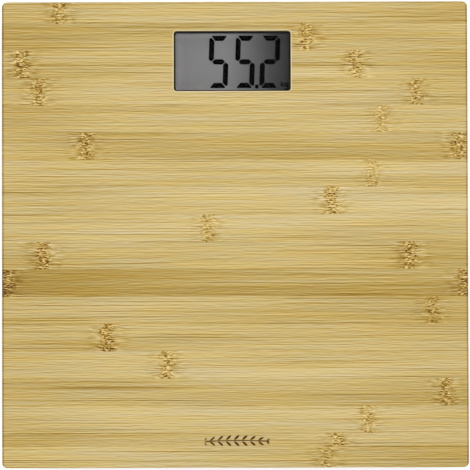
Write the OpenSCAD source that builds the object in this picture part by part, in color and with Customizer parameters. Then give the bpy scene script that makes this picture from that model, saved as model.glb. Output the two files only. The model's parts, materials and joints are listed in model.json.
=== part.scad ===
// Bathroom scale: a laminated bamboo platform on four load-cell feet, with a liquid-crystal
// display set into the board and a coin-cell electronics housing let into its underside.
// Millimetres, +Z up, +X to the user's right, +Y towards the display edge.
// The origin is on the floor, under the middle of the platform.

/* [Platform] */
// Width of the platform, side to side
board_w = 300; // [290:1:320]
// Depth of the platform, user's edge to display edge
board_d = 300; // [290:1:320]
// Thickness of the bamboo board
board_t = 10; // [10:0.5:12]
// Radius of the four corners, seen from above
corner_r = 4; // [3:0.5:8]
// Rounding of the upper and lower edges
edge_r = 0.8; // [0.4:0.1:1.5]
// Height of the board's underside above the floor
under_z = 14; // [14:0.5:17]

/* [Display window] */
// Width of the window in the board
window_w = 75.5; // [70:0.5:78]
// Depth of the window in the board
window_d = 39; // [36:0.2:39]
// Radius of the window's corners
window_r = 2; // [1.5:0.5:4]
// Window centre, right of the middle
window_x = -1.5; // [-4:0.5:4]
// Window centre, in from the display edge
window_inset = 38.2; // [37.6:0.2:44]
// Depth of the lens below the board's face
lens_drop = 0.8; // [0.4:0.1:1]
// Thickness of the clear lens
lens_t = 2; // [1.5:0.1:2]

/* [Reading] */
// Segments that are lit in each digit, left to right
lit = ["afgcd", "afgcd", "abged"];
// Width of a digit
digit_w = 12.9; // [10:0.1:13]
// Height of a digit
digit_h = 34; // [28:0.2:34]
// Width of a segment
stroke = 3.4; // [2:0.05:3.5]
// Middle of each digit, right of the window's middle
digit_at = [-8.9, 8.3, 24.4];
// Lean of the digits to the right, in degrees
lean = 2; // [0:0.5:4]
// Rise of the digits above the window's middle
digit_rise = 0.2; // [-1:0.1:0.8]
// Middle of the decimal point, right of the window's middle
point_at = 15.9; // [15.7:0.1:16]
// Left edge of the unit, right of the window's middle
unit_at = 31.5; // [31.3:0.1:31.7]

/* [Feet] */
// Foot centres, in from the platform's edges
foot_inset = 32; // [32:1:36]
// Radius of the load-cell housing
pod_r = 23; // [23:0.5:25]
// Travel of a foot against its load cell at full load
foot_travel = 0.5; // [0.3:0.1:0.5]
// Side of the square load cell
cell_side = 32; // [30:0.5:32]
// Radius of the rubber pad
pad_r = 17.5; // [15:0.5:17.5]

/* [Power and unit switch] */
// Radius of the coin cell
coin_r = 10; // [9:0.5:10]
// Thickness of the coin cell
coin_t = 3.2; // [2.5:0.1:3.2]
// Radius of the unit button
button_r = 3.9; // [3:0.1:4.5]

/* [Hidden] */
$fn = 96;
CORNERS = ["front_left", "front_right", "rear_left", "rear_right"];
CORNER_PARTS = ["cell_housing", "load_cell", "strain_gauge", "foot_cup", "foot_pad", "wire_cover"];
SINGLE_PARTS = [
    "bamboo_board", "display_lens", "lens_tape", "display_carrier", "front_polariser", "front_glass",
    "lcd_digits", "rear_glass", "rear_reflector", "zebra_strip_upper", "zebra_strip_lower",
    "main_board", "processor_blob", "board_parts", "solder_joints", "unit_switch", "switch_plunger",
    "unit_button", "electronics_housing", "housing_screws", "board_screws", "battery_door",
    "coin_cell", "negative_contact", "positive_contact", "foot_screws",
    "red_leads", "black_leads", "white_leads"
];

BLACK = "#26272a";
STEEL = "#b9bcc0";
eps = 0.1;

// Heights
top_z = under_z + board_t;
lens_z = top_z - lens_drop - lens_t;
tape_t = 0.2;
pocket_depth = 6.5;
pocket_z = under_z + pocket_depth;
bezel_t = 0.6;
bezel_z = pocket_z - bezel_t - eps;
film_t = 0.2;
glass_t = 1.1;
crystal_t = 0.1;
front_glass_z = bezel_z - film_t - glass_t;
crystal_z = front_glass_z - crystal_t;
rear_glass_z = crystal_z - glass_t;
reflector_z = rear_glass_z - film_t;
pcb_t = 1.2;
pcb_top = under_z + 2.2;
pcb_z = pcb_top - pcb_t;

// Plan sizes round the display
window_y = board_d / 2 - window_inset;
rim_gap = 0.3;
rim_w = 0.7;
glass_w = window_w + 4;
front_glass_d = window_d + 6;
rear_glass_d = window_d + 2;
zebra_w = 1.6;
zebra_y = rear_glass_d / 2 + 0.3 + zebra_w / 2;
carrier_w = glass_w + 5;
carrier_d = front_glass_d + 5;
pcb_w = carrier_w + 10;
pcb_d = carrier_d + 8.8;

// Electronics housing
case_wall = 2;
case_in_w = pcb_w + 3.4;
case_in_d = pcb_d + 2;
case_w = case_in_w + 2 * case_wall;
case_d = case_in_d + 2 * case_wall;
case_r = 5;
case_z = under_z - 7;
case_floor_t = 2.4;
floor_z = case_z + case_floor_t;
case_top = pocket_z - 0.3;
case_gap = 0.3;
ear_t = 2.5;
ear_r = 4;
case_ear_x = case_w / 2 + 3.6;
case_ear_y = 20;
pcb_screw_x = pcb_w / 2 - 3;
pcb_screw_y = pcb_d / 2 - 8;

// Battery bay and its sliding door
bay_x = window_x - 24;
bay_r = coin_r + 0.5;
bay_wall = 1.5;
bay_top = under_z + 0.2;
bay_lid_t = 0.8;
door_t = 1.6;
door_w = 2 * coin_r + 0.6;
door_flange = 1.2;
door_flange_z = case_z + 0.8;
door_gap = 0.2;
door_x0 = window_x - case_w / 2;
door_x1 = bay_x + bay_r + 1.5;
coin_z = case_z + door_t + eps;

// Unit button and its switch
button_x = window_x + 26;
plunger_z = under_z - 1.7;
switch_side = 6;
switch_z = under_z - 1;

// Feet, heights below the board's underside
foot_x = board_w / 2 - foot_inset;
foot_y = board_d / 2 - foot_inset;
pod_h = 8;
pod_wall = 2;
pod_plate_t = 2;
lip_t = 1;
lip_w = 1.2;
cup_gap = 0.6;
cup_r = pod_r - pod_wall - lip_w - cup_gap;
flange_r = pod_r - pod_wall - cup_gap;
flange_drop = 6.8;
flange_t = 0.8;
cup_wall = 2.2;
pad_t = 2.4;
pad_seat = 0.8;
cell_t = 1.8;
cell_drop = 4.4;
cell_r = 5;
tongue_w = 12;
slot_w = 2.5;
slot_reach = 11;
gauge_end = 14.5;
gauge_l = 8;
gauge_t = 0.4;
pod_ear_at = 27;
pod_ear_t = 3;

// Screws into the board, and the smaller ones into the housing
wood_screw_r = 1.5;
wood_screw_head_r = 2.9;
wood_screw_bite = 7;
small_screw_r = 0.9;
small_screw_head_r = 1.9;
screw_fit = 0.05;

// Leads, and the groove and cover that hold them
groove_w = 8;
groove_h = 4;
groove_start = 17.2;
cover_t = 1.2;
cover_leg = 0.8;
cover_h = 3.2;
lead_r = 0.5;
lead_pitch = 1.7;
lead_sides = 8;
pad_from_edge = 2.2;
solder_r = 0.8;
front_pad_x = 30;

function side_x(i) = i % 2 == 0 ? -1 : 1;
function side_y(i) = i < 2 ? -1 : 1;
function foot_at(i) = [side_x(i) * foot_x, side_y(i) * foot_y];
// Where a foot's three leads reach the circuit board: its side edges at the rear, its near edge in front
function lead_end(i) = side_y(i) > 0
    ? [window_x + side_x(i) * (pcb_w / 2 - pad_from_edge), foot_y]
    : [side_x(i) * front_pad_x, window_y - pcb_d / 2 + pad_from_edge];
function lead_run(i) = lead_end(i) - foot_at(i);
function lead_angle(i) = atan2(lead_run(i).y, lead_run(i).x);
function outward(i) = atan2(side_y(i), side_x(i));
function pod_ears(i) = [outward(i) - 90, outward(i), outward(i) + 90];

// ---------- shapes used by several parts ----------

module rounded_rect(w, d, r) {
    square([w - 2 * r, d], center = true);
    square([w, d - 2 * r], center = true);
    for (x = [-1, 1], y = [-1, 1])
        translate([x * (w / 2 - r), y * (d / 2 - r)]) circle(r);
}

module slab(w, d, r, z0, z1) {
    translate([0, 0, z0]) linear_extrude(z1 - z0) rounded_rect(w, d, r);
}

module block(x0, x1, w, z0, z1) {
    translate([x0, -w / 2, z0]) cube([x1 - x0, w, z1 - z0]);
}

// A board with its upper and lower edges rounded along all four sides
module eased_board(w, d, h, r, e) {
    intersection() {
        slab(w, d, r, 0, h);
        translate([0, 0, h / 2]) rotate([90, 0, 0])
            translate([0, 0, -d / 2 - 1]) linear_extrude(d + 2) rounded_rect(w, h, e);
        translate([0, 0, h / 2]) rotate([90, 0, 90])
            translate([0, 0, -w / 2 - 1]) linear_extrude(w + 2) rounded_rect(d, h, e);
    }
}

// A pan-head screw driven upwards, its head's bearing face at z = 0
module screw(head_r, head_h, shank_r, shank_h) {
    difference() {
        union() {
            translate([0, 0, -head_h]) cylinder(r1 = head_r - 0.5, r2 = head_r, h = 0.6);
            translate([0, 0, 0.6 - head_h]) cylinder(r = head_r, h = head_h - 0.6);
            cylinder(r = shank_r, h = shank_h - shank_r);
            translate([0, 0, shank_h - shank_r]) cylinder(r1 = shank_r, r2 = 0.3, h = shank_r);
        }
        for (a = [0, 90]) rotate(a)
            block(-head_r * 0.6, head_r * 0.6, head_r * 0.28, -head_h - eps, -head_h * 0.45);
    }
}

module at_window() { translate([window_x, window_y, 0]) children(); }

// The foot's centre at the board's underside, turned so that +X runs along its lead groove
module along_leads(i) {
    translate([foot_at(i).x, foot_at(i).y, under_z]) rotate(lead_angle(i)) children();
}

module at_pod_ears(i) {
    translate([foot_at(i).x, foot_at(i).y, under_z])
        for (a = pod_ears(i)) rotate(a) translate([pod_ear_at, 0, 0]) children();
}

module at_case_ears() {
    at_window() for (x = [-1, 1], y = [-1, 1])
        translate([x * case_ear_x, y * case_ear_y, under_z]) rotate(x > 0 ? 0 : 180) children();
}

module at_board_screws() {
    at_window() for (x = [-1, 1], y = [-1, 1])
        translate([x * pcb_screw_x, y * pcb_screw_y, 0]) children();
}

module lead_groove(i, w, z0, z1) {
    along_leads(i) block(groove_start, norm(lead_run(i)), w, z0, z1);
}

// ---------- platform ----------

module bamboo_board() color("#cdb274") {
    difference() {
        translate([0, 0, under_z]) eased_board(board_w, board_d, board_t, corner_r, edge_r);
        at_window() {
            slab(window_w, window_d, window_r, under_z, top_z + 1);
            slab(case_w + 2 * case_gap, case_d + 2 * case_gap, case_r + case_gap, under_z - 1, pocket_z);
        }
        for (i = [0:3]) {
            lead_groove(i, groove_w, -1, groove_h);
            along_leads(i) translate([groove_start, 0, -1]) cylinder(d = groove_w, h = groove_h + 1);
            at_pod_ears(i) cylinder(r = wood_screw_r + screw_fit, h = wood_screw_bite + 0.5);
        }
        at_case_ears() cylinder(r = wood_screw_r + screw_fit, h = wood_screw_bite + 0.5);
    }
}

// ---------- display ----------

module display_lens() color("#e8eef0", 0.3) at_window()
    slab(window_w - 0.3, window_d - 0.3, window_r - 0.15, lens_z, lens_z + lens_t);

module rim_ring(z0, z1) {
    difference() {
        slab(window_w - 2 * rim_gap, window_d - 2 * rim_gap, window_r - rim_gap, z0, z1);
        slab(window_w - 2 * (rim_gap + rim_w), window_d - 2 * (rim_gap + rim_w),
             window_r - rim_gap - rim_w / 2, z0 - 1, z1 + 1);
    }
}

module lens_tape() color("#111214") at_window() rim_ring(lens_z - tape_t, lens_z);

module display_carrier() color(BLACK) at_window() difference() {
    union() {
        slab(carrier_w, carrier_d, 2, pcb_top, pocket_z - eps);
        slab(window_w - 2 * rim_gap, window_d - 2 * rim_gap, window_r - rim_gap,
             bezel_z, lens_z - tape_t);
    }
    slab(window_w - 2 * (rim_gap + rim_w), window_d - 2 * (rim_gap + rim_w),
         window_r - rim_gap - rim_w / 2, pcb_top, lens_z + 1);
    slab(glass_w + 0.4, front_glass_d + 0.4, 0.8, pcb_top - 1, bezel_z);
}

module front_polariser() color("#9a9c9e", 0.25) at_window()
    slab(glass_w - 0.6, rear_glass_d, 0.5, bezel_z - film_t, bezel_z);

module front_glass() color("#d6e2e0", 0.25) at_window()
    slab(glass_w, front_glass_d, 0.4, front_glass_z, front_glass_z + glass_t);

module rear_glass() color("#d6e2e0", 0.25) at_window()
    slab(glass_w, rear_glass_d, 0.4, rear_glass_z, rear_glass_z + glass_t);

module rear_reflector() color("#7d7f80") at_window()
    slab(glass_w - 0.6, rear_glass_d - 0.6, 0.5, reflector_z, reflector_z + film_t);

// Corner points of the three kinds of segment, for a digit centred on the origin
half_w = digit_w / 2;
half_h = digit_h / 2;
slit = 0.35;
point_r = 1.35;
unit_rise = 0.9;
unit_scale = 1.15;
function leaning(points) = [for (p = points) [p.x + p.y * tan(lean), p.y]];
function across_top() = [
    [-half_w + 0.53 * stroke, half_h], [half_w - 0.53 * stroke, half_h],
    [half_w - 0.49 * stroke, half_h - 0.18 * stroke], [half_w - stroke - 1.4 * slit, half_h - stroke],
    [-half_w + stroke + 1.4 * slit, half_h - stroke], [-half_w + 0.49 * stroke, half_h - 0.18 * stroke]
];
function across_middle() = [
    [-half_w + 0.67 * stroke, 0], [-half_w + 1.14 * stroke, stroke / 2],
    [half_w - 1.14 * stroke, stroke / 2], [half_w - 0.67 * stroke, 0],
    [half_w - 1.14 * stroke, -stroke / 2], [-half_w + 1.14 * stroke, -stroke / 2]
];
function upper_left() = [
    [-half_w, half_h - 0.6 * stroke], [-half_w + 0.38 * stroke, half_h - 0.36 * stroke],
    [-half_w + stroke, half_h - stroke - 0.3 * slit], [-half_w + stroke, stroke / 2 + 0.6 * slit],
    [-half_w + 0.56 * stroke, slit], [-half_w, stroke / 2]
];
function flipped(points, sx, sy) = [for (p = points) [p.x * sx, p.y * sy]];
function segment(name) =
    name == "a" ? across_top() :
    name == "b" ? flipped(upper_left(), -1, 1) :
    name == "c" ? flipped(upper_left(), -1, -1) :
    name == "d" ? flipped(across_top(), 1, -1) :
    name == "e" ? flipped(upper_left(), 1, -1) :
    name == "f" ? upper_left() : across_middle();

// A straight pen stroke of width w from p to q
module pen(p, q, w) {
    side = [p.y - q.y, q.x - p.x] / norm(q - p) * w / 2;
    polygon([p + side, q + side, q - side, p - side]);
}

// The unit, drawn 3 mm high with its lower left corner at the origin
module unit_mark() {
    pen([0.3, 0], [0.3, 3], 0.6);
    pen([0.4, 0.85], [1.65, 2.1], 0.55);
    pen([0.75, 1.35], [1.75, 0], 0.55);
    translate([3.2, 1]) difference() {
        circle(1.2, $fn = 32);
        circle(0.55, $fn = 32);
    }
    translate([3.75, -0.9]) square([0.65, 3.05]);
    translate([3.2, -0.75]) difference() {
        circle(1.2, $fn = 32);
        circle(0.55, $fn = 32);
        translate([-2, -0.1]) square([4, 2]);
    }
}

module lcd_digits() color("#0d0e10") at_window() translate([0, 0, crystal_z])
    linear_extrude(crystal_t) {
        for (d = [0:len(lit) - 1]) translate([digit_at[d], digit_rise])
            for (name = lit[d]) polygon(leaning(segment(name)));
        translate([point_at, 0.7 * point_r - half_h + digit_rise]) circle(point_r, $fn = 32);
        translate([unit_at, unit_rise - half_h + digit_rise]) scale([unit_scale, unit_scale]) unit_mark();
    }

module zebra_strip(sy) color("#8f8f92") at_window() translate([0, sy * zebra_y, 0])
    block(4 - glass_w / 2, glass_w / 2 - 4, zebra_w, pcb_top, front_glass_z);

// ---------- circuit board ----------

module main_board() color("#2f6b45") difference() {
    at_window() slab(pcb_w, pcb_d, 1.5, pcb_z, pcb_top);
    at_board_screws() translate([0, 0, pcb_z - 1]) cylinder(r = 1.1, h = pcb_t + 2);
}

module processor_blob() color("#151517") at_window() translate([4, 12, 0]) {
    blob_r = 5;
    blob_h = 1.3;
    ball_r = (blob_r * blob_r + blob_h * blob_h) / (2 * blob_h);
    intersection() {
        translate([0, 0, pcb_z + ball_r - blob_h]) sphere(ball_r);
        translate([0, 0, pcb_z - 2]) cylinder(r = blob_r + 1, h = 2);
    }
}

module board_parts() color("#6b6357") at_window() translate([0, 0, pcb_z]) {
    for (k = [0:5]) translate([14 + 4 * k, -14, 0]) block(-0.8, 0.8, 0.8, -0.5, 0);
    for (k = [0:1]) translate([6 + 5 * k, -6, 0]) block(-1.6, 1.6, 1.6, -1.3, 0);
    translate([-2, -16, 0]) block(-1.5, 1.5, 1.6, -1.1, 0);
    translate([16, 16, 0]) block(-2.5, 2.5, 4, -1.5, 0);
}

module solder_joints() color(STEEL) for (i = [0:3]) along_leads(i)
    for (k = [-1:1]) translate([norm(lead_run(i)), k * lead_pitch, pcb_top - under_z])
        cylinder(r1 = solder_r, r2 = 0.4, h = 1.1);

module unit_switch() color("#1b1b1d") translate([button_x, window_y, 0]) difference() {
    block(-switch_side / 2, switch_side / 2, switch_side, switch_z, pcb_z);
    translate([0, 0, switch_z - 1]) cylinder(r = 1.8, h = 2.3);
}

module switch_plunger() color("#c9c9c4") translate([button_x, window_y, plunger_z])
    cylinder(r = 1.5, h = 1.3);

module board_screws() color(STEEL) at_board_screws() translate([0, 0, pcb_top])
    mirror([0, 0, 1]) screw(small_screw_head_r, 1.2, small_screw_r, 5);

// ---------- electronics housing ----------

module electronics_housing() color(BLACK) difference() {
    union() {
        at_window() difference() {
            slab(case_w, case_d, case_r, case_z, case_top);
            slab(case_in_w, case_in_d, case_r - case_wall, floor_z, case_top + 1);
        }
        at_case_ears() {
            translate([0, 0, -ear_t]) cylinder(r = ear_r, h = ear_t);
            block(-3.9, 0, 2 * ear_r, -ear_t, 0);
        }
        at_board_screws() translate([0, 0, floor_z - eps]) cylinder(r = 2.6, h = pcb_z - floor_z + eps);
        translate([bay_x, window_y, floor_z - eps])
            cylinder(r = bay_r + bay_wall, h = bay_top - floor_z + eps);
    }
    at_board_screws() translate([0, 0, pcb_z - 4.2]) cylinder(r = small_screw_r + screw_fit, h = 5);
    at_case_ears() translate([0, 0, -ear_t - 1]) cylinder(r = wood_screw_r + 0.2, h = ear_t + 2);
    translate([button_x, window_y, case_z - 1]) cylinder(r = button_r + 0.3, h = case_floor_t + 2);
    for (i = [0:3]) lead_groove(i, groove_w, 0, groove_h + 0.5);
    translate([bay_x, window_y, 0]) {
        translate([0, 0, case_z + 1]) cylinder(r = bay_r, h = bay_top - bay_lid_t - case_z - 1);
        block(bay_r - 1, bay_r + 1.1, 6, case_z + 1, bay_top + 1);
        block(-9.3, -8.4, 4.6, bay_top - 2, bay_top + 1);
    }
    translate([0, window_y, 0]) {
        block(door_x0 - 1, door_x1 + door_gap, door_w + 2 * door_gap,
              case_z - 1, case_z + door_t + door_gap);
        block(door_x0 - 1, door_x1 + door_gap, door_w + 2 * (door_flange + door_gap),
              door_flange_z - eps, case_z + door_t + door_gap);
    }
}

module housing_screws() color(STEEL) at_case_ears() translate([0, 0, -ear_t])
    screw(wood_screw_head_r, 1.9, wood_screw_r, wood_screw_bite + ear_t);

module battery_door() color("#2d2e31") translate([0, window_y, 0]) {
    block(door_x0, door_x1, door_w, case_z, case_z + door_t);
    block(door_x0 + 2, door_x1, door_w + 2 * door_flange, door_flange_z, case_z + door_t);
    for (k = [0:4]) block(door_x0 + 3 + 2 * k, door_x0 + 4 + 2 * k, 12, case_z - 0.4, case_z + eps);
}

module coin_cell() color("#c4c7cb") translate([bay_x, window_y, coin_z])
    rotate_extrude() polygon([
        [0, 0], [coin_r - 0.3, 0], [coin_r, 0.3], [coin_r, coin_t - 0.5], [coin_r - 1, coin_t - 0.4],
        [coin_r - 1.2, coin_t], [0, coin_t]
    ]);

// A leaf that hangs from the bay's lid and presses on the middle of the coin cell
module negative_contact() color("#d3cfc0") {
    lid_z = bay_top - bay_lid_t;
    low_z = coin_z + coin_t + 0.05;
    leaf = 0.3;
    translate([bay_x, window_y + 2, 0]) rotate([90, 0, 0]) linear_extrude(4) polygon([
        [-9, pcb_z], [-9, lid_z - leaf], [-5, lid_z - leaf], [-1, low_z], [1, low_z], [4, low_z + 0.8],
        [4, low_z + 0.8 + leaf], [1, low_z + leaf], [-1, low_z + leaf], [-4.9, lid_z], [-8.7, lid_z],
        [-8.7, pcb_z]
    ]);
}

// A strip beside the coin cell's can, up through the bay's lid to the circuit board
module positive_contact() color("#d3cfc0") translate([bay_x + coin_r, window_y, 0])
    block(0.1, 0.4, 5, coin_z, pcb_z);

module unit_button() color("#3a3b3f") translate([button_x, window_y, 0]) rotate_extrude() polygon([
    [0, case_z - 0.6], [button_r - 0.6, case_z - 0.6], [button_r, case_z],
    [button_r, floor_z + 0.05], [button_r + 1.3, floor_z + 0.05], [button_r + 1.3, floor_z + 0.9],
    [1.6, floor_z + 0.9], [1.6, plunger_z], [0, plunger_z]
]);

// ---------- feet ----------

// A cup screwed under the board, with pads above its load cell and lugs below it
module cell_housing(i) color(BLACK) difference() {
    union() {
        translate([foot_at(i).x, foot_at(i).y, under_z]) rotate_extrude() polygon([
            [0, 0], [0, -pod_plate_t], [pod_r - pod_wall, -pod_plate_t],
            [pod_r - pod_wall, lip_t - pod_h], [pod_r - pod_wall - lip_w, lip_t - pod_h],
            [pod_r - pod_wall - lip_w, -pod_h], [pod_r - 0.8, -pod_h], [pod_r, 0.8 - pod_h],
            [pod_r, 0]
        ]);
        at_pod_ears(i) {
            translate([0, 0, -pod_ear_t]) cylinder(r = ear_r, h = pod_ear_t);
            block(pod_r - 1 - pod_ear_at, 0, 2 * ear_r, -pod_ear_t, 0);
        }
        along_leads(i) for (a = [45:90:315]) rotate(a) {
            block(15.5, 20, 5, cell_t - cell_drop, -pod_plate_t + eps);
            block(18.6, pod_r - 1.6, 5, -5, -cell_drop - 0.05);
        }
    }
    at_pod_ears(i) translate([0, 0, -pod_ear_t - 1]) cylinder(r = wood_screw_r + 0.2, h = pod_ear_t + 2);
    along_leads(i) block(gauge_end - 1, gauge_end + 6, groove_w, -pod_plate_t - 0.05, 1);
}

// A pressed steel plate with a tongue that the foot's boss bends
module load_cell(i) color(STEEL) along_leads(i) difference() {
    slab(cell_side, cell_side, cell_r, -cell_drop, cell_t - cell_drop);
    for (y = [-1, 1]) translate([0, y * (tongue_w + slot_w) / 2, 0])
        block(-slot_reach, slot_reach, slot_w, -cell_drop - 1, 0);
    block(-slot_reach, slot_w - slot_reach, tongue_w + 1, -cell_drop - 1, 0);
}

// The gauge's white silicone coat, on the tongue's root
module strain_gauge(i) color("#e9e7e0") along_leads(i)
    translate([gauge_end - gauge_l / 2, 0, 0])
        slab(gauge_l, 7, 1, cell_t - cell_drop, cell_t - cell_drop + gauge_t);

module foot_cup(i) color("#323338") translate([foot_at(i).x, foot_at(i).y, 0]) {
    plate_z = pad_t - pad_seat;
    plate_top = pad_t + 1.6;
    boss_r = 4;
    rotate_extrude() polygon([
        [0, pad_t], [pad_r + 0.2, pad_t], [pad_r + 0.2, plate_z], [cup_r - 0.6, plate_z],
        [cup_r, plate_z + 0.6], [cup_r, under_z - flange_drop], [flange_r, under_z - flange_drop],
        [flange_r, under_z - flange_drop + flange_t],
        [cup_r - cup_wall, under_z - flange_drop + flange_t],
        [cup_r - cup_wall, plate_top], [boss_r, plate_top],
        [boss_r, under_z - cell_drop - foot_travel - 1],
        [boss_r - 0.9, under_z - cell_drop - foot_travel - eps],
        [0, under_z - cell_drop - foot_travel - eps]
    ]);
    for (a = [30:60:330]) rotate(a)
        block(boss_r - 0.3, cup_r - cup_wall + 0.3, 1.2, plate_top - eps, plate_top + 2);
}

module foot_pad(i) color("#1c1c1e") translate([foot_at(i).x, foot_at(i).y, 0])
    rotate_extrude() polygon([
        [0, 0], [4.5, 0], [5, 0.6], [6.5, 0.6], [7, 0], [9.5, 0], [10, 0.6], [11.5, 0.6], [12, 0],
        [pad_r - 0.6, 0], [pad_r, 0.6], [pad_r, pad_t], [0, pad_t]
    ]);

module foot_screws() color(STEEL) for (i = [0:3]) at_pod_ears(i) translate([0, 0, -pod_ear_t])
    screw(wood_screw_head_r, 1.9, wood_screw_r, wood_screw_bite + pod_ear_t);

// ---------- leads ----------

// A shallow channel pressed into the groove, flush with the board, from the foot to the housing
module wire_cover(i) color("#303135") difference() {
    along_leads(i) {
        block(pod_r - 3, norm(lead_run(i)), groove_w - 0.2, 0, cover_t);
        for (y = [-1, 1]) translate([0, y * (groove_w - 0.2 - cover_leg) / 2, 0])
            block(pod_r - 3, norm(lead_run(i)), cover_leg, cover_t - eps, cover_h);
    }
    along_leads(i) translate([0, 0, -1]) cylinder(r = pod_r + 0.4, h = cover_h + 2);
    at_window() slab(case_w + 0.5, case_d + 0.5, case_r + 0.25, under_z - 1, pocket_z);
}

// A lead's way from the gauge, up through its slot and along the groove: [along, height]
lead_way = [
    [14.5, -2.05], [15.4, -1.9], [16.2, -1.2], [16.9, 0.2], [17.6, 1.6], [18.5, 2.5], [19.6, 2.75]
];
function lead_route(i, offset) = concat(
    [for (p = lead_way) [p.x, offset, p.y]],
    [[norm(lead_run(i)) - solder_r - 0.25, offset, 2.75]]
);
function unit(v) = v / norm(v);
function heading(path, k) =
    let (last = len(path) - 1)
    unit(path[min(k + 1, last)] - path[max(k - 1, 0)]);

// A round tube through the points of a path that stays in one upright plane
module tube(path, r, sides) {
    across = [0, 1, 0];
    rings = [for (k = [0:len(path) - 1])
        let (up = cross(heading(path, k), across))
        for (s = [0:sides - 1])
            path[k] + r * (cos(360 * s / sides) * across + sin(360 * s / sides) * up)];
    last = len(path) - 1;
    polyhedron(rings, concat(
        [[for (s = [0:sides - 1]) s]],
        [for (k = [0:last - 1]) for (s = [0:sides - 1])
            [k * sides + s, (k + 1) * sides + s, (k + 1) * sides + (s + 1) % sides,
             k * sides + (s + 1) % sides]],
        [[for (s = [sides - 1:-1:0]) last * sides + s]]
    ));
}

module leads(place) for (i = [0:3])
    along_leads(i) tube(lead_route(i, place * lead_pitch), lead_r, lead_sides);

module red_leads() color("#b3261e") leads(-1);
module black_leads() color("#161617") leads(0);
module white_leads() color("#e6e6e2") leads(1);

// ---------- one line for each node ----------

bamboo_board();
display_lens();
lens_tape();
display_carrier();
front_polariser();
front_glass();
lcd_digits();
rear_glass();
rear_reflector();
zebra_strip(1);  // zebra_strip_upper
zebra_strip(-1);  // zebra_strip_lower
main_board();
processor_blob();
board_parts();
solder_joints();
unit_switch();
switch_plunger();
unit_button();
electronics_housing();
housing_screws();
board_screws();
battery_door();
coin_cell();
negative_contact();
positive_contact();
foot_screws();
red_leads();
black_leads();
white_leads();
for (i = [0:3]) {
    cell_housing(i);
    load_cell(i);
    strain_gauge(i);
    foot_cup(i);
    foot_pad(i);
    wire_cover(i);
}
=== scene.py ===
"""A bathroom scale: a laminated bamboo platform on four load-cell feet, with a liquid-crystal
display let into the board and a coin-cell electronics housing under it. Metres, +Y to the display."""

import json
import math

import bmesh
import bpy
import numpy as np
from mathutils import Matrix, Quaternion, Vector

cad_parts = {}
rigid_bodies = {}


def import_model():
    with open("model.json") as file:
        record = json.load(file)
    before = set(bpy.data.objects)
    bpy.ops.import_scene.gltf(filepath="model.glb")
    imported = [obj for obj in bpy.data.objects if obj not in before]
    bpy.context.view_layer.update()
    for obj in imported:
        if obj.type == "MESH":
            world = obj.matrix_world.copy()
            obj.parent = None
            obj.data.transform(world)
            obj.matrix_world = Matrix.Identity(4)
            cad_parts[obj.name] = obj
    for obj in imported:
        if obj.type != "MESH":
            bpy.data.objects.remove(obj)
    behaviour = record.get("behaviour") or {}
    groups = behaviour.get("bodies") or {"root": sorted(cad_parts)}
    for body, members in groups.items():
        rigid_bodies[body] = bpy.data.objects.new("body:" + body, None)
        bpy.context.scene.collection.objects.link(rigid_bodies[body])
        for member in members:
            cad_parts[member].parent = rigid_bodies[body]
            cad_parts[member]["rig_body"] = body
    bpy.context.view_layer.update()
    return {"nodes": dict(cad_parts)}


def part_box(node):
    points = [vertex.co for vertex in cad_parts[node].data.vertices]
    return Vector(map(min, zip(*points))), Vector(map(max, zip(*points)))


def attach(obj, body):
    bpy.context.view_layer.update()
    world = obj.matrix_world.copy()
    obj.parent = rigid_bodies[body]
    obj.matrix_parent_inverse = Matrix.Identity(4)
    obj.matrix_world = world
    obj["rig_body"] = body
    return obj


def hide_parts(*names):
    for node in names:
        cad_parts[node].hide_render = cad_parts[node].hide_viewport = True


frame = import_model()

# ---------- View ----------
# The scale is seen from straight above, a little from the user's side, and the board
# nearly fills the frame. The camera leans by a fraction of a degree.
board_low, board_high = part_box("bamboo_board")
face_z = board_high.z
lens_length = 85
sensor_width = 36
margin = 1.0075
camera_height = margin * (board_high.x - board_low.x) * lens_length / sensor_width
camera_forward = -0.006
camera_roll = math.radians(-0.15)
aim = Vector((0, -0.0004, face_z))
camera_data = bpy.data.cameras.new("camera")
camera_data.lens = lens_length
camera_data.sensor_width = sensor_width
camera_data.clip_start = 0.01
camera = bpy.data.objects.new("camera", camera_data)
bpy.context.scene.collection.objects.link(camera)
camera.location = aim + Vector((0, camera_forward, camera_height))
camera.rotation_mode = "QUATERNION"
straight = (aim - camera.location).to_track_quat("-Z", "Y")
camera.rotation_quaternion = straight @ Quaternion((0, 0, 1), camera_roll)
bpy.context.scene.camera = camera
bpy.context.scene.view_settings.view_transform = "Standard"
bpy.context.scene.cycles.transparent_max_bounces = 32

# ---------- Bamboo platform ----------
# Flat strips of split bamboo are glued edge to edge in two plies and planed to 10 mm. The edges are
# rounded, the display's window and the grooves are routed, and a satin lacquer covers it all.


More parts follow.
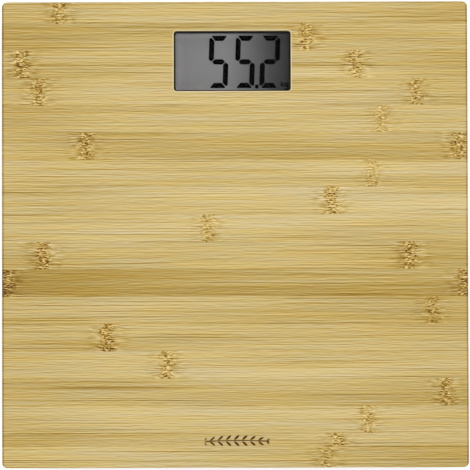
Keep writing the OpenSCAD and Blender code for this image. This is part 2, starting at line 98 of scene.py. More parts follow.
class Value:
    """One socket of a material. Sums written with it add Math nodes, and node() adds any other node."""

    def __init__(self, tree, socket=None):
        self.tree = tree
        self.socket = socket

    def node(self, kind, settings=(), inputs=(), output=0):
        """A new node with its settings, then the values or links of its sockets; gives one output."""
        made = self.tree.nodes.new("ShaderNode" + kind)
        for name, setting in dict(settings).items():
            if name == "interpolation":
                made.color_ramp.interpolation = setting
            elif name == "stops":
                ramp = made.color_ramp.elements
                ramp.remove(ramp[1])
                ramp[0].position = setting[0][0]
                ramp[0].color = (*setting[0][1], 1)
                for position, colour in setting[1:]:
                    ramp.new(position).color = (*colour, 1)
            else:
                setattr(made, name, setting)
        for name, given in dict(inputs).items():
            if isinstance(given, Value):
                self.tree.links.new(given.socket, made.inputs[name])
            else:
                made.inputs[name].default_value = given
        return Value(self.tree, made.outputs[output])

    def math(self, operation, *operands):
        return self.node("Math", {"operation": operation}, dict(enumerate(operands)))

    def __add__(self, other):
        return self.math("ADD", self, other)

    def __sub__(self, other):
        return self.math("SUBTRACT", self, other)

    def __rsub__(self, other):
        return self.math("SUBTRACT", other, self)

    def __mul__(self, other):
        return self.math("MULTIPLY", self, other)

    def __truediv__(self, other):
        return self.math("DIVIDE", self, other)

    def __rtruediv__(self, other):
        return self.math("DIVIDE", other, self)

    __radd__ = __add__
    __rmul__ = __mul__

    def size(self):
        return self.math("ABSOLUTE", self)

    def rise(self, low, high):
        """0 below low, 1 above high, and a smooth step between them."""
        spans = {"From Min": low, "From Max": high}
        return self.node("MapRange", {"interpolation_type": "SMOOTHSTEP"}, {"Value": self, **spans})

    def mix(self, colour_a, colour_b, blend="MIX"):
        """Colour a where this is 0, colour b where it is 1."""
        settings = {"data_type": "RGBA", "blend_type": blend}
        return self.node("Mix", settings, {0: self, 6: colour_a, 7: colour_b}, 2)

    def times_colour(self, other):
        return self.node("VectorMath", {"operation": "MULTIPLY"}, {0: self, 1: other})

    def noise(self, x, y, z, detail=2.0, roughness=0.5):
        """Noise at a place given by three lengths counted in cells of the pattern, about -1 to 1."""
        place = self.node("CombineXYZ", {}, {0: x, 1: y, 2: z})
        inputs = {"Vector": place, "Scale": 1.0, "Detail": detail, "Roughness": roughness}
        return self.node("TexNoise", {}, inputs) * 2 - 1


# The studio's light is brighter than 1 and its gloss adds a thin veil, so a finish's own colour is
# a share of the colour that it shows, less the veil
LIT = 0.765
VEIL = 0.018


def shown(red, green, blue):
    """The linear colour of a finish that shows as this 8-bit screen colour."""
    screen = np.array([red, green, blue]) / 255
    linear = np.where(screen < 0.04045, screen / 12.92, ((screen + 0.055) / 1.055) ** 2.4)
    return tuple(float(part) for part in np.maximum(linear - VEIL, 0.001) * LIT)


def new_finish(name, **constants):
    """A material, its surface sockets, and the place on the object in millimetres: x, y and z."""
    material = bpy.data.materials.new(name)
    material.use_nodes = True
    surface = material.node_tree.nodes["Principled BSDF"].inputs
    for socket, setting in constants.items():
        surface[socket.replace("_", " ")].default_value = setting
    maker = Value(material.node_tree)
    place = maker.node("TexCoord", output="Object")
    xyz = [maker.node("SeparateXYZ", {}, {0: place}, axis) * 1000 for axis in range(3)]
    return material, surface, xyz


def link(value, socket):
    """Feeds a value to a socket of a surface."""
    value.tree.links.new(value.socket, socket)


def relief(height, depth, surface, strength=1.0):
    """Feeds a height of 0 to 1, worth a depth in metres, to the surface's normal."""
    inputs = {"Height": height, "Distance": depth, "Strength": strength}
    link(height.node("Bump", {}, inputs), surface["Normal"])


# The grades that the strips are sorted into before gluing, by how much paler than honey they are
DARK = -16
DULL = -6
PLAIN = -1
PALE = 4
PALEST = 10
# Each strip from the display edge: its width in mm, its grade, and its knuckles, each with its place
# along the strip and its strength
STRIP_W = 17.57
STRIPS = [
    (13.5, DULL, (-113, 0.8)),
    (STRIP_W, PLAIN, (46, 0.8)),
    (STRIP_W, PLAIN, (-137, 0.9), (78, 0.8)),
    (STRIP_W, PLAIN, (-126, 0.8), (117, 0.7)),
    (STRIP_W, PLAIN, (95, 0.5)),
    (STRIP_W, DULL, (-96, 0.8), (144, 0.8)),
    (STRIP_W, PALE, (89, 0.5)),
    (STRIP_W, PALEST, (62, 0.9)),
    (STRIP_W, PALE, (-17, 0.65)),
    (STRIP_W, PLAIN, (-124, 1.0), (112, 0.9)),
    (STRIP_W, DARK, (-147, 0.8), (148, 0.9)),
    (STRIP_W, DULL, (127, 0.6)),
    (STRIP_W, PLAIN, (-82, 1.0)),
    (STRIP_W, PALEST, (-44, 0.85)),
    (STRIP_W, PLAIN, (135, 0.8)),
    (STRIP_W, PALEST, (85, 0.6)),
    (8.2, PLAIN, (66, 0.9)),
    (14.7, DULL, (59, 0.6)),
]
LIGHTNESS_SPAN = 40
KNUCKLE_SPAN = 300
# The lower ply ends at this height. Its strips are turned end for end and lie this much further over
PLY_Z = 19.0
PLY_SHIFT = 6.0
# From its middle, a knuckle's curled core and the streaks beside it fade out between two distances,
# and the grain bends round it for a third one
CORE_FADE = (1.5, 6.5)
STREAK_FADE = (3, 18)
BEND_REACH = 11
SEAM_W = 0.45


def strip_ramps():
    """Two stepped ramps across the board: knuckle places and lightness, then strengths and a seed."""
    board_d = sum(strip[0] for strip in STRIPS)
    places, strengths, at = [], [], 0
    for number, (width, lightness, *knuckles) in enumerate(STRIPS):
        first, second = knuckles[0], knuckles[-1] if len(knuckles) > 1 else (0, 0)
        spot = [knuckle[0] / KNUCKLE_SPAN + 0.5 for knuckle in (first, second)]
        places.append((at / board_d, (*spot, lightness / LIGHTNESS_SPAN + 0.5)))
        strengths.append((at / board_d, (first[1], second[1], (number * 0.37) % 1)))
        at += width
    return places, strengths


def window_rim_highlight(x, y, z):
    """How much the wood is paled by a painted highlight along the rounded edge of the display's window,
    from the distance to its rounded outline and the height."""
    low, high = [1000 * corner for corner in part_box("display_lens")]
    corner_r = 2.0
    most = 0.75
    reach_x = (x - (low.x + high.x) / 2).size() - (high.x - low.x) / 2 + corner_r
    reach_y = (y - (low.y + high.y) / 2).size() - (high.y - low.y) / 2 + corner_r
    past_x = reach_x.math("MAXIMUM", reach_x, 0)
    past_y = reach_y.math("MAXIMUM", reach_y, 0)
    squared = past_x * past_x + past_y * past_y
    out = squared.math("SQRT", squared) - corner_r
    return (1 - out.rise(0.35, 1.0)) * z.rise(22.5, 23.5) * most


def sprig(u, v, z):
    """A sprig of bamboo leaves burnt into the top face: a bowed stem with a row of tilted ovals on
    each side, which are largest in the middle."""
    stem_bow = 0.6
    leaf_step = 5.2
    leaf_out = 2.0
    leaf_length = 2.2
    leaf_width = 0.72
    tilt = math.radians(42)
    from_stem = v - stem_bow * (1 - (u / 20) * (u / 20))
    away = from_stem.size()
    share = 1 - 0.45 * (u / 22) * (u / 22)
    step_at = (u + 60) / leaf_step
    along = step_at.math("FRACT", step_at) * leaf_step - leaf_step / 2
    out = away / share - leaf_out
    length = (along * math.cos(tilt) + out * math.sin(tilt)) / leaf_length
    width = (out * math.cos(tilt) - along * math.sin(tilt)) / leaf_width
    leaf = 1 - (length * length + width * width).rise(0.7, 1.2)
    stem = 1 - away.rise(0.2, 0.45)
    mark = leaf.math("MAXIMUM", leaf, stem) * (1 - u.size().rise(20.5, 21))
    return mark * z.rise(23, 23.5)


def layout_at(strip_at):
    """The six numbers of the strip at a share of the way across the board."""
    found = []
    for stops in strip_ramps():
        settings = {"interpolation": "CONSTANT", "stops": stops}
        ramp = strip_at.node("ValToRGB", settings, {0: strip_at})
        found.append([ramp.node("SeparateColor", {}, {0: ramp}, part) for part in range(3)])
    return found


def strands(along, row, deep, length, width):
    """Fine threads of a length and a width: a noise less the same noise from about half a thread away,
    which leaves no slower waves across the grain."""
    here = along.noise(along / length, row / width, deep, 0.5)
    return here - along.noise(along / length, row / width + 0.55, deep, 0.5)


def bamboo():
    """Grain drawn out along X in each strip, with curled and speckled knuckles across the strips, darker
    end grain, dotted with pores, on the two end faces, and painted shade lines along the top face's rounded
    edges at the two ends and at the display end. Lengths are in mm, and the level of the tone runs from 70,
    the darkest, to 245."""
    material, surface, (x, y, z) = new_finish("bamboo", Specular_IOR_Level=0.22)
    lower = z.math("LESS_THAN", z, PLY_Z)
    side = 1 - 2 * lower
    along = x * side
    across = y * side + PLY_SHIFT * lower
    board_d = 1000 * (board_high.y - board_low.y)
    strip_at = 0.5 - across / board_d
    (first_at, second_at, lightness), (first, second, seed) = layout_at(strip_at)
    deep = z / 1.3 + seed * 70
    next_seed = layout_at(strip_at + SEAM_W / board_d)[1][2]
    seam = (next_seed - seed).size().rise(0.005, 0.01)
    wobble = x.noise(across / 5, seed * 40, z / 4) * 4

    core, bend, beside = 0, 0, 0
    for spot, strength in ((first_at, first), (second_at, second)):
        from_knuckle = along - (spot - 0.5) * KNUCKLE_SPAN + wobble
        reach = from_knuckle / BEND_REACH
        core = core + strength * (1 - from_knuckle.size().rise(*CORE_FADE))
        bend = bend + strength / (1 + reach * reach)
        beside = beside + strength * (1 - from_knuckle.size().rise(*STREAK_FADE))

    ripple = x.noise(along / 8, across / 4, z / 4 + seed * 9)
    row = across + ripple * bend * 1.1 + x.noise(along / 90, across / 30, seed * 30) * 0.2
    broad = x.noise(along / 260, row / 24, deep / 4, 1.0)
    band = x.noise(along / 180, row / 4, deep, 1.0)
    fibre = strands(along, row, deep, 9, 0.75) * 0.5 + strands(along, row, deep + 9, 50, 0.85) * 0.5
    thread = x.noise(along / 150, row / 0.6, deep * 2 + 31, 0.5)
    streak = x.noise(along / 6, row / 0.65, deep + 17, 1.0)
    twist_x = x.noise(along / 2.2, across / 1.8, z / 2 + seed * 20)
    twist_y = x.noise(along / 1.8, across / 2.4, z / 2 + seed * 20 + 7)
    curl = x.noise((along + twist_x * 1.6) / 2.1, (across + twist_y * 1.1) / 0.72, z / 1.2, 0.6)

    level = 180 + (lightness - 0.5) * LIGHTNESS_SPAN
    level = level + broad * 30 + band * 9 + fibre * (62 - 36 * core)
    level = level - thread.rise(0.22, 0.55) * 48
    # Darker towards both ends of the board, by up to 8 levels
    level = level - 8 * x.size().rise(60, 140)
    level = level + core * (curl * 245 - 14)
    level = level + beside * (streak * 115 - 9)
    level = level - seam * (12 + 16 * x.noise(along / 40, seed * 30, 0))
    pores = x.noise(across / 0.45, z / 0.45, seed * 9).rise(0, 0.5)
    # Darker end grain, dotted with pores, on the two end faces. The same mask paints a shade line along the
    # top face's outermost millimetre or so at both ends, and a fainter painted shade line runs along the
    # display end's edge.
    level = level - x.size().rise(148.4, 149.1) * (34 + 34 * pores) - y.rise(148.6, 149.2) * 12
    # Umber, toffee, caramel, honey and straw, each at its own level of the tone
    palette = {
        70: (95, 60, 20),
        110: (140, 105, 40),
        150: (180, 150, 80),
        180: (205, 180, 120),
        245: (240, 220, 175),
    }
    low, high = min(palette), max(palette)
    stops = [((tone - low) / (high - low), shown(*colour)) for tone, colour in palette.items()]
    colour = level.node("ValToRGB", {"stops": stops}, {0: (level - low) / (high - low)})
    warmth = x.noise(along / 60, row / 3.2, seed * 50 + 5) * 1.6 + 0.5
    hue = warmth.mix((1.04, 1.04, 0.93, 1), (0.97, 1.03, 1.2, 1))
    hue = core.mix(hue, (1.02, 0.98, 0.72, 1))
    # A painted highlight: the wood pales to a light cream along the rounded edge of the display's window
    colour = window_rim_highlight(x, y, z).mix(colour.times_colour(hue), (*shown(238, 224, 184), 1))
    sprig_x, sprig_y = 1, -133
    burn = sprig(x - sprig_x, y - sprig_y, z)
    colour = burn.mix(colour, (*shown(78, 48, 20), 1))
    link(colour, surface["Base Color"])
    link(0.42 - fibre * 0.08, surface["Roughness"])
    relief(fibre * 0.5 - burn * 2 + 2.5, 0.00003, surface, 0.35)
    return material


def eased_copy(node, width, material):
    """A CAD node's copy with its triangles joined into whole faces and its sharp edges rounded."""
    mesh = frame["nodes"][node].data.copy()
    mesh.name = node
    model = bmesh.new()
    model.from_mesh(mesh)
    bmesh.ops.remove_doubles(model, verts=model.verts, dist=1e-6)
    bmesh.ops.dissolve_limit(model, angle_limit=math.radians(0.5), verts=model.verts, edges=model.edges)
    model.to_mesh(mesh)
    model.free()
    custom = mesh.attributes.get("custom_normal")
    if custom:
        mesh.attributes.remove(custom)
    mesh.shade_smooth()
    mesh.materials.clear()
    mesh.materials.append(material)
    piece = bpy.data.objects.new("eased_" + node, mesh)
    bpy.context.scene.collection.objects.link(piece)
    edge = piece.modifiers.new("eased", "BEVEL")
    edge.width = width
    edge.segments = 3
    edge.limit_method = "ANGLE"
    edge.angle_limit = math.radians(40)
    edge.harden_normals = True
    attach(piece, frame["nodes"][node]["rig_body"])
    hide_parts(node)
    return piece


eased_copy("bamboo_board", 0.0003, bamboo())

# ---------- Display ----------
# A black carrier holds the two panes of a liquid-crystal display against rubber strips that join it
# to the circuit board. A clear acrylic lens is taped to the carrier's rim and closes the window.


def dress(material, *names):
    """Gives CAD nodes a finish."""
    for name in names:
        for material_slot in frame["nodes"][name].material_slots:
            material_slot.material = material


def shell(name, grids, material, body, replaced, crease=35):
    """A closed piece from grids of points. A grid's rows go round the piece and follow each other
    along its profile or path. An end row is closed by a flat face, or is a pole if it is a point."""
    points, faces, start = [], [], 0
    for grid in grids:
        rows, columns = grid.shape[:2]
        number = start + np.arange(rows * columns).reshape(rows, columns)
        ahead = np.roll(number, -1, axis=1)
        quads = np.stack([number[:-1], ahead[:-1], ahead[1:], number[1:]], axis=-1)
        faces += quads.reshape(-1, 4).tolist()
        faces += [number[end].tolist() for end in (0, -1) if np.ptp(grid[end], axis=0).max() > 1e-6]
        points += grid.reshape(-1, 3).tolist()
        start += rows * columns
    mesh = bpy.data.meshes.new(name)
    mesh.from_pydata(points, [], faces)
    model = bmesh.new()
    model.from_mesh(mesh)
    bmesh.ops.remove_doubles(model, verts=model.verts, dist=1e-7)
    bmesh.ops.recalc_face_normals(model, faces=model.faces)
    model.to_mesh(mesh)
    model.free()
    mesh.shade_smooth()
    mesh.set_sharp_from_angle(angle=math.radians(crease))
    mesh.materials.append(material)
    piece = bpy.data.objects.new(name, mesh)
    bpy.context.scene.collection.objects.link(piece)
    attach(piece, body)
    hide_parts(*replaced)
    return piece


def rounded_pane(low, high, corner, edge, steps=6):
    """A flat pane between two corners of a box. Each row is a rectangle with quarter-circle corners,
    drawn in by one minus the cosine of the edge's rounding and raised by its sine."""
    turn = np.linspace(0, np.pi / 2, steps + 1)
    inset = np.concatenate([edge * (1 - np.sin(turn)), edge * (1 - np.cos(turn))])
    height = np.concatenate([low[2] + edge * (1 - np.cos(turn)), high[2] - edge * (1 - np.sin(turn))])
    quarter = np.linspace(0, np.pi / 2, steps + 1)
    angle = np.concatenate([quarter + k * np.pi / 2 for k in range(4)])
    side_x = np.repeat([1, -1, -1, 1], steps + 1)
    side_y = np.repeat([1, 1, -1, -1], steps + 1)
    reach_x = (high[0] - low[0]) / 2 - corner
    reach_y = (high[1] - low[1]) / 2 - corner
    round_r = corner - inset[:, None]
    x = (high[0] + low[0]) / 2 + side_x * reach_x + round_r * np.cos(angle)
    y = (high[1] + low[1]) / 2 + side_y * reach_y + round_r * np.sin(angle)
    return np.stack([x, y, np.broadcast_to(height[:, None], x.shape)], axis=-1)


def clear(name, tint, alpha, roughness, cell):
    """A clear sheet: mostly open, with a faint tint, a little gloss and a trace of haze and dust."""
    material, surface, (x, y, z) = new_finish(name, Alpha=alpha, IOR=1.49)
    dust = x.noise(x / cell, y / cell, z / cell, 4.0)
    link(dust.rise(-1, 1).mix((*shown(*tint), 1), (*shown(*[0.9 * part for part in tint]), 1)),
         surface["Base Color"])
    link(roughness + dust * roughness * 0.3, surface["Roughness"])
    return material


def moulded(name, colour, roughness, cell=0.3, depth=0.00002):
    """Moulded plastic: a fine spark-eroded grain, and a shade and gloss that drift over the moulding."""
    material, surface, (x, y, z) = new_finish(name, IOR=1.5)
    grain = x.noise(x / cell, y / cell, z / cell, 3.0, 0.6)
    drift = x.noise(x / 14, y / 14, z / 14)
    paler = [part * 1.25 + 3 for part in colour]
    link((grain * 0.5 + drift * 0.6).rise(-0.7, 0.9).mix((*shown(*colour), 1), (*shown(*paler), 1)),
         surface["Base Color"])
    link(roughness + grain * 0.12 + drift * 0.08, surface["Roughness"])
    relief(grain * 0.5 + 0.5, depth, surface, 0.5)
    return material


window_low, window_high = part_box("display_lens")
lens = clear("clear_acrylic", (22, 24, 27), 0.05, 0.06, 9)
shell("lens", [rounded_pane(window_low, window_high, 0.0018, 0.00025)], lens, "platform",
      ["display_lens"])

black_abs = moulded("black_abs", (38, 39, 42), 0.5)
dress(black_abs, "display_carrier")
dress(moulded("black_tape", (24, 24, 26), 0.62, 0.15, 0.00001), "lens_tape")
film = clear("polariser_film", (20, 21, 23), 0.04, 0.3, 4)
pane = clear("display_glass", (22, 26, 24), 0.03, 0.05, 12)
shell("front_polariser_sheet", [rounded_pane(*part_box("front_polariser"), 0.0005, 0.00005, 4)], film,
      "platform", ["front_polariser"])
shell("front_glass_sheet", [rounded_pane(*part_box("front_glass"), 0.0004, 0.0001, 4)], pane,
      "platform", ["front_glass"])


# The layers over the film hold back more than half of the light on its way in and out. The film's grey is
# multiplied by this share to make up for it, which is painted light.
PAINTED_LIGHT_SHARE = 2.2


def display_grey_and_painted_light(name, share):
    """The grey of the film behind the crystal, with a painted reflection that runs smoothly from a left
    grey to a darker right one, and painted light that makes it paler along the left edge and along the top
    and bottom edges, against the shade of the window's walls."""
    material, surface, (x, y, z) = new_finish(name, Roughness=0.45, Specular_IOR_Level=0.1)
    width = 1000 * (window_high.x - window_low.x)
    across = (x - 1000 * window_low.x) / width
    left, right = [(*[share * part for part in shown(level, level, level)], 1) for level in (112, 63)]
    # Painted reflection: a grey that darkens from left to right across the window
    painted_reflection_fall = (across + x.noise(x / 9, y / 9, 0) * 0.008).rise(0.38, 0.94)
    # Painted light: paler along the left edge, and along the top and bottom edges against the shade that
    # the window's walls cast
    painted_edge_light = 1 + 1.05 * (1 - across.rise(-0.06, 0.11))
    from_top = (1000 * window_high.y - y).rise(0.3, 6)
    from_foot = (y - 1000 * window_low.y).rise(0.5, 6)
    shade = painted_edge_light * (1.6 - 0.6 * from_top) * (1.2 - 0.2 * from_foot)
    tinted = shade * across.node("MapRange", {}, {"Value": across, "From Max": 0.15, "To Min": 1.04})
    level = x.node("CombineXYZ", {}, {0: tinted, 1: shade, 2: tinted})
    link(painted_reflection_fall.mix(left, right).times_colour(level), surface["Base Color"])
    return material


# The film and the rear pane carry the painted reflection and the painted light
dress(display_grey_and_painted_light("reflector_film", PAINTED_LIGHT_SHARE), "rear_reflector")
rear_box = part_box("rear_glass")
shell("rear_glass_sheet", [rounded_pane(*rear_box, 0.0004, 0.0001, 4)], display_grey_and_painted_light("rear_pane_painted_light", PAINTED_LIGHT_SHARE),
      "platform", ["rear_glass"])


def crystal_ink():
    """The dark of a lit segment: black with a trace of blue where the crystal thins out."""
    material, surface, (x, y, z) = new_finish("crystal_ink", Roughness=0.5, Specular_IOR_Level=0.0)
    thin = x.noise(x / 2.5, y / 2.5, 0)
    link(thin.rise(-0.6, 0.9).mix((0.0012, 0.0012, 0.0014, 1), (0.003, 0.003, 0.0042, 1)),
         surface["Base Color"])
    return material


dress(crystal_ink(), "lcd_digits")


def zebra_rubber():
    """Clear and carbon silicone in thin layers across the strip."""
    material, surface, (x, y, z) = new_finish("zebra_rubber", Roughness=0.6)
    layer = (x / 0.4).math("PINGPONG", x / 0.4, 0.5) * 2
    link(layer.rise(0.35, 0.65).mix((0.02, 0.02, 0.022, 1), (0.4, 0.4, 0.42, 1)), surface["Base Color"])
    return material


dress(zebra_rubber(), "zebra_strip_upper", "zebra_strip_lower")

# ---------- Circuit board ----------
# A green fibreglass board behind the display, with the processor under a drop of epoxy, small
# parts, the unit switch and the soldered ends of twelve leads. Four small screws hold it.


def circuit_board():
    """Green solder mask over copper tracks, which run along the board in steps and show paler."""
    material, surface, (x, y, z) = new_finish("circuit_board", Roughness=0.35, IOR=1.5)
    lane = y / 1.1
    track = lane.math("PINGPONG", lane, 0.5)
    length = x.noise(x / 16, lane.math("ROUND", lane) * 3.7, 0, 0.0)
    copper = track.rise(0.2, 0.26) * length.rise(0.05, 0.07)
    weave = x.noise(x / 0.5, y / 0.5, z / 0.5)
    mask = weave.rise(-1, 1).mix((*shown(26, 84, 50), 1), (*shown(32, 98, 60), 1))
    link(copper.mix(mask, (*shown(62, 134, 84), 1)), surface["Base Color"])
    relief(copper, 0.00003, surface)
    return material


def metal(name, colour, roughness, cell_x, cell_y, cell_z):
    """Metal with fine marks drawn out by rolling or plating, cloudy over a few millimetres."""
    material, surface, (x, y, z) = new_finish(name, Metallic=1.0)
    marks = x.noise(x / cell_x, y / cell_y, z / cell_z, 3.0)
    cloud = x.noise(x / 5, y / 5, z / 5)
    duller = [part * 0.86 for part in colour]
    link((marks * 0.5 + cloud * 0.5).rise(-0.6, 0.6).mix((*shown(*duller), 1), (*shown(*colour), 1)),
         surface["Base Color"])
    link(roughness + marks * 0.1 + cloud * 0.06, surface["Roughness"])
    relief(marks * 0.5 + 0.5, 0.00001, surface, 0.4)
    return material


dress(circuit_board(), "main_board")
dress(moulded("epoxy", (16, 16, 17), 0.16, 2.0, 0.00005), "processor_blob")
dress(moulded("chip_ceramic", (120, 104, 88), 0.55, 0.2), "board_parts")
dress(metal("solder", (205, 206, 210), 0.28, 0.6, 0.6, 0.6), "solder_joints")
dress(black_abs, "unit_switch")
dress(moulded("white_nylon", (214, 214, 206), 0.45), "switch_plunger")
zinc_steel = metal("zinc_steel", (198, 202, 208), 0.34, 0.4, 0.4, 0.4)
eased_copy("board_screws", 0.00008, zinc_steel)

# ---------- Electronics housing ----------
# A moulded tray let into the board's underside and screwed there by four ears. It carries the
# circuit board, the battery bay with its sliding door, and the button that changes the unit.
eased_copy("electronics_housing", 0.0003, black_abs)
eased_copy("housing_screws", 0.00015, zinc_steel)
eased_copy("battery_door", 0.00025, black_abs)
grey_abs = moulded("grey_abs", (62, 63, 67), 0.48)
eased_copy("unit_button", 0.00025, grey_abs)

# ---------- Coin cell ----------
# A steel can with a smaller lid crimped into it over a nylon ring. One spring leaf presses on its
# lid and a strip touches the side of its can.


def turned(profile, centre, sides):
    """A profile of radius and height, carried round an upright axis."""
    angle = np.arange(sides) * 2 * np.pi / sides
    radius, height = np.array(profile).T
    x = centre[0] + radius[:, None] * np.cos(angle)
    y = centre[1] + radius[:, None] * np.sin(angle)
    return np.stack([x, y, np.broadcast_to(height[:, None], x.shape)], axis=-1)


def middle_of(node):
    """The middle of a CAD node's box, seen from above."""
    low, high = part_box(node)
    return (low + high) / 2


def coin_steel(centre):
    """Spun steel: marks in rings round the cell's axis, and fine scratches."""
    material, surface, (x, y, z) = new_finish("coin_steel", Metallic=1.0)
    from_x = x - 1000 * centre.x
    from_y = y - 1000 * centre.y
    squared = from_x * from_x + from_y * from_y
    ring = squared.math("SQRT", squared)
    marks = x.noise(ring / 0.12, z / 3, 0)
    scratch = x.noise((x + y) / 6, (x - y) / 0.15, z / 2)
    link((marks + scratch).rise(-1, 1).mix((*shown(178, 180, 184), 1), (*shown(214, 215, 218), 1)),
         surface["Base Color"])
    link(0.26 + marks * 0.08 + scratch * 0.06, surface["Roughness"])
    return material


def coin_profile():
    """The can's rounded foot and wall, the crimp, the ring's groove and the lid, from foot to lid."""
    low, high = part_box("coin_cell")
    can_r = (high.x - low.x) / 2
    foot, lid = low.z, high.z
    foot_round = 0.0005
    crimp_round = 0.0004
    crimp_z = lid - 0.0007
    groove_z = lid - 0.0006
    arc = np.linspace(0, np.pi / 2, 6)
    rows = [(0, foot), (can_r - 0.0022, foot), (can_r - 0.0019, foot + 0.00008)]
    rows += [(can_r - foot_round * (1 - math.sin(a)), foot + foot_round * (1 - math.cos(a))) for a in arc]
    rows += [(can_r - crimp_round * (1 - math.cos(a)), crimp_z + crimp_round * math.sin(a)) for a in arc]
    rows += [(can_r - 0.0011, lid - 0.00035), (can_r - 0.0012, groove_z)]
    rows += [(can_r - 0.0014, groove_z), (can_r - 0.0015, lid - 0.0002)]
    rows += [(can_r - 0.0017, lid), (0, lid)]
    return rows


cell_at = middle_of("coin_cell")
shell("coin_cell_can", [turned(coin_profile(), cell_at, 96)], coin_steel(cell_at), "platform",
      ["coin_cell"])
dress(metal("nickel_spring", (214, 208, 190), 0.24, 3, 0.3, 0.3), "negative_contact", "positive_contact")

# ---------- Feet ----------
# Each foot is a plastic cup with a rubber pad. Its boss bends the tongue of a stamped steel load cell,
# which sits in a housing screwed under the board, and a gauge under white silicone feels it.
CORNERS = ["front_left", "front_right", "rear_left", "rear_right"]
cell_steel = metal("cell_steel", (176, 179, 182), 0.38, 6, 0.25, 0.25)
tread_waves = 48


def black_rubber():
    """Matt moulded rubber with a trace of pale dust in its hollows."""
    material, surface, (x, y, z) = new_finish("black_rubber", Roughness=0.78, IOR=1.52)
    grain = x.noise(x / 0.5, y / 0.5, z / 0.5, 3.0)
    dust = x.noise(x / 6, y / 6, z / 6, 4.0)
    link((dust + grain * 0.4).rise(-0.2, 1.1).mix((*shown(30, 30, 32), 1), (*shown(62, 61, 60), 1)),
         surface["Base Color"])
    link(0.76 + grain * 0.1, surface["Roughness"])
    relief(grain * 0.5 + 0.5, 0.00003, surface)
    return material


def white_silicone():
    """A brushed-on silicone coat: waxy white with soft lumps."""
    material, surface, (x, y, z) = new_finish("white_silicone", Roughness=0.42)
    lumps = x.noise(x / 1.6, y / 1.6, z / 1.6, 3.0)
    link(lumps.rise(-0.8, 0.8).mix((*shown(214, 212, 204), 1), (*shown(240, 239, 234), 1)),
         surface["Base Color"])
    relief(lumps * 0.5 + 0.5, 0.0001, surface, 0.6)
    return material


def pad_grid(low, high):
    """A disc whose foot has two ring grooves and, outside them, a tread of radial waves: the height
    is each groove's raised cosine plus a wave that turns with the angle and fades at its band's ends."""
    radius = (high.x - low.x) / 2
    foot_edge = 0.0008
    top_edge = 0.0002
    groove_middles = np.array([[0.0057], [0.0107]])
    groove_half = 0.0011
    groove_depth = 0.0006
    tread_r = 0.0122
    tread_fade = 0.0008
    tread_depth = 0.00035
    sides = 4 * tread_waves
    angle = np.arange(sides) * 2 * np.pi / sides
    rings = np.concatenate([np.linspace(0, radius - 0.0012, 52), [radius - foot_edge]])
    from_groove = np.minimum(abs(rings - groove_middles), groove_half)
    groove = (0.5 + 0.5 * np.cos(from_groove / groove_half * np.pi)).sum(axis=0)
    band = np.clip((rings - tread_r) / tread_fade, 0, 1)
    band = band * np.clip((radius - foot_edge - rings) / tread_fade, 0, 1)
    wave = 0.5 - 0.5 * np.cos(tread_waves * angle)
    foot = low.z + groove_depth * groove[:, None] + tread_depth * band[:, None] * wave
    arc = np.linspace(0, np.pi / 2, 5)
    edge_r = radius - foot_edge * (1 - np.sin(arc[1:]))
    edge_z = low.z + foot_edge * (1 - np.cos(arc[1:]))
    around_r = np.concatenate([rings, edge_r, [radius, radius - top_edge, 0]])
    wall_z = np.concatenate([edge_z, [high.z - top_edge, high.z, high.z]])
    heights = np.concatenate([foot, np.broadcast_to(wall_z[:, None], (len(wall_z), sides))])
    centre = (low + high) / 2
    x = centre.x + around_r[:, None] * np.cos(angle)
    y = centre.y + around_r[:, None] * np.sin(angle)
    return np.stack([x, y, heights], axis=-1)


rubber = black_rubber()
silicone = white_silicone()
for corner in CORNERS:
    eased_copy("cell_housing_" + corner, 0.0003, black_abs)
    eased_copy("foot_cup_" + corner, 0.0003, grey_abs)
    eased_copy("load_cell_" + corner, 0.0001, cell_steel)
    shell("tread_pad_" + corner, [pad_grid(*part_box("foot_pad_" + corner))], rubber, "foot_" + corner,
          ["foot_pad_" + corner], 50)
eased_copy("foot_screws", 0.00015, zinc_steel)

# ---------- Leads ----------
# Three leads run from each gauge, up through a slot and along a groove in the board's underside to the
# circuit board, under a cover that presses in flush.
LEAD_R = 0.0005
LEAD_PITCH = 0.0017
UNDER_Z = board_low.z
# The soldered ends: how far inside the circuit board's edge, how far from its middle for the front
# feet, and how far short of the end a lead stops
FROM_EDGE = 0.0022
FRONT_PAD_X = 0.030
SHORT_OF_END = 0.00105
# The way up from the gauge into the groove, in mm from the foot's middle and from the board's underside
LEAD_WAY = [
    (14.5, -2.05), (15.4, -1.9), (16.2, -1.2), (16.9, 0.2), (17.6, 1.6), (18.5, 2.5), (19.6, 2.75)
]


def lead_ends(corner):
    """Where a foot's leads start and end in plan: the foot's centre, then the circuit board's edge."""
    foot = np.array(middle_of("foot_pad_" + corner))[:2]
    low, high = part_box("main_board")
    if "rear" in corner:
        edge = low.x + FROM_EDGE if "left" in corner else high.x - FROM_EDGE
        return foot, np.array([edge, foot[1]])
    return foot, np.array([math.copysign(FRONT_PAD_X, foot[0]), low.y + FROM_EDGE])


def smooth_path(points, steps=5):
    """A Catmull-Rom curve through points: each stretch is a cubic whose slope at a point is half the
    line from the point before it to the point after it."""
    ends = np.vstack([2 * points[0] - points[1], points, 2 * points[-1] - points[-2]])
    before, start, end, after = ends[:-3], ends[1:-2], ends[2:-1], ends[3:]
    t = np.linspace(0, 1, steps, endpoint=False)[:, None, None]
    curve = start + 0.5 * t * (end - before + t * (
        2 * before - 5 * start + 4 * end - after + t * (3 * (start - end) + after - before)))
    return np.vstack([curve.transpose(1, 0, 2).reshape(-1, points.shape[1]), points[-1:]])


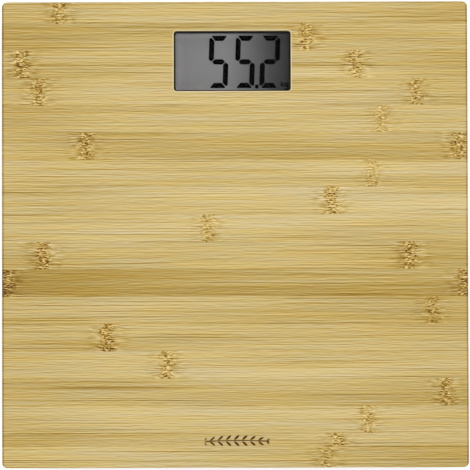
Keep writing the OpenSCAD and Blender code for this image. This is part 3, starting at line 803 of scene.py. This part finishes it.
def lead_grid(corner, place, sides=12):
    """A round tube along its route: rings square to the route, with the ends drawn in round."""
    foot, end = lead_ends(corner)
    run = np.linalg.norm(end - foot)
    heading = (end - foot) / run
    beside = np.array([-heading[1], heading[0]])
    last = run - SHORT_OF_END
    way = np.array(LEAD_WAY) / 1000
    way = np.vstack([way, [[0.5 * (way[-1, 0] + last), way[-1, 1]], [last, way[-1, 1]]]])
    path = smooth_path(way)
    slope = np.gradient(path, axis=0)
    slope /= np.linalg.norm(slope, axis=1)[:, None]
    radius = np.full(len(path), LEAD_R)
    path = np.vstack([path[:1], path, path[-1:]])
    slope = np.vstack([slope[:1], slope, slope[-1:]])
    radius = np.concatenate([[0], radius, [0]])[:, None]
    angle = np.arange(sides) * 2 * np.pi / sides
    up = radius * np.sin(angle)
    along = path[:, :1] - up * slope[:, 1:]
    height = UNDER_Z + path[:, 1:] + up * slope[:, :1]
    across = place * LEAD_PITCH + radius * np.cos(angle)
    x = foot[0] + along * heading[0] + across * beside[0]
    y = foot[1] + along * heading[1] + across * beside[1]
    return np.stack([x, y, height], axis=-1)


def gauge_grid(corner, rows=9, sides=40):
    """A drop of silicone: rings that shrink as the cosine of a rising angle while the height grows
    as its sine, each ring a fourth-power oval round the gauge."""
    foot, end = lead_ends(corner)
    heading = (end - foot) / np.linalg.norm(end - foot)
    low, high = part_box("strain_gauge_" + corner)
    angle = np.arange(sides) * 2 * np.pi / sides
    oval = (np.abs(np.cos(angle)) ** 4 + np.abs(np.sin(angle)) ** 4) ** -0.25
    gauge_at = 0.0105
    half_length = 0.0040
    half_width = 0.0035
    rise = np.linspace(0, np.pi / 2, rows)
    share = np.cos(rise)[:, None]
    along = gauge_at + half_length * share * oval * np.cos(angle)
    across = half_width * share * oval * np.sin(angle)
    height = low.z + (high.z - low.z) * np.sin(rise)[:, None] * np.ones(sides)
    x = foot[0] + along * heading[0] - across * heading[1]
    y = foot[1] + along * heading[1] + across * heading[0]
    return np.stack([x, y, height], axis=-1)


def insulation(name, colour):
    """Extruded insulation: smooth, with faint drawn marks."""
    material, surface, (x, y, z) = new_finish(name, IOR=1.5)
    marks = x.noise(x / 3, y / 3, z / 0.3, 3.0)
    darker = [part * 0.85 for part in colour]
    link(marks.rise(-0.7, 0.7).mix((*shown(*darker), 1), (*shown(*colour), 1)), surface["Base Color"])
    link(0.42 + marks * 0.08, surface["Roughness"])
    return material


for colour_name, place, colour in (
    ("red", -1, (190, 38, 32)), ("black", 0, (30, 30, 32)), ("white", 1, (226, 226, 220)),
):
    slot = colour_name + "_insulation"
    shell(colour_name + "_lead_set", [lead_grid(corner, place) for corner in CORNERS],
          insulation(slot, colour), "platform", [colour_name + "_leads"], 60)
for corner in CORNERS:
    shell("gauge_coat_" + corner, [gauge_grid(corner)], silicone, "platform",
          ["strain_gauge_" + corner])
    eased_copy("wire_cover_" + corner, 0.0002, black_abs)

# ---------- Floor and light ----------
# The scale lies on a plain pale floor, which runs out to a pale horizon. Four square softboxes light
# it from all sides.
far = 20
floor_mesh = bpy.data.meshes.new("floor")
floor_mesh.from_pydata([(-far, -far, 0), (far, -far, 0), (far, far, 0), (-far, far, 0)], [], [(0, 1, 2, 3)])
floor = bpy.data.objects.new("floor", floor_mesh)
bpy.context.scene.collection.objects.link(floor)
floor_paint, floor_surface, (x, y, z) = new_finish("floor_paint", Roughness=0.8, Emission_Strength=0.45)
link(x.noise(x / 300, y / 300, 0).rise(-1, 1).mix((0.58, 0.58, 0.58, 1), (0.6, 0.6, 0.6, 1)),
     floor_surface["Base Color"])
squared = x * x + y * y
from_middle = squared.math("SQRT", squared)
link(from_middle.rise(300, 2400).mix((1, 1, 1, 1), (1.6, 1.6, 1.6, 1)), floor_surface["Emission Color"])
floor_mesh.materials.append(floor_paint)

# Where each softbox hangs, and its power in watts
LIGHT_PLACES = [
    ((-0.95, 0.15, 0.95), 9.0), ((0.95, 0.15, 0.95), 9.0), ((0, 1.1, 0.9), 6.0), ((0, -1.1, 0.9), 5.0),
]
for number, (spot, power) in enumerate(LIGHT_PLACES):
    lamp = bpy.data.lights.new(f"softbox_{number}", "AREA")
    lamp.shape = "SQUARE"
    lamp.size = 0.9
    lamp.energy = power
    softbox = bpy.data.objects.new(lamp.name, lamp)
    bpy.context.scene.collection.objects.link(softbox)
    softbox.location = spot
    softbox.rotation_euler = (-Vector(spot)).to_track_quat("-Z", "Y").to_euler()

world = bpy.data.worlds.new("studio")
bpy.context.scene.world = world
world.use_nodes = True
air = world.node_tree.nodes["Background"].inputs
air["Color"].default_value = (1, 1, 1, 1)
seen = Value(world.node_tree).node("LightPath", output="Is Camera Ray")
link(0.45 + seen * 0.53, air["Strength"])
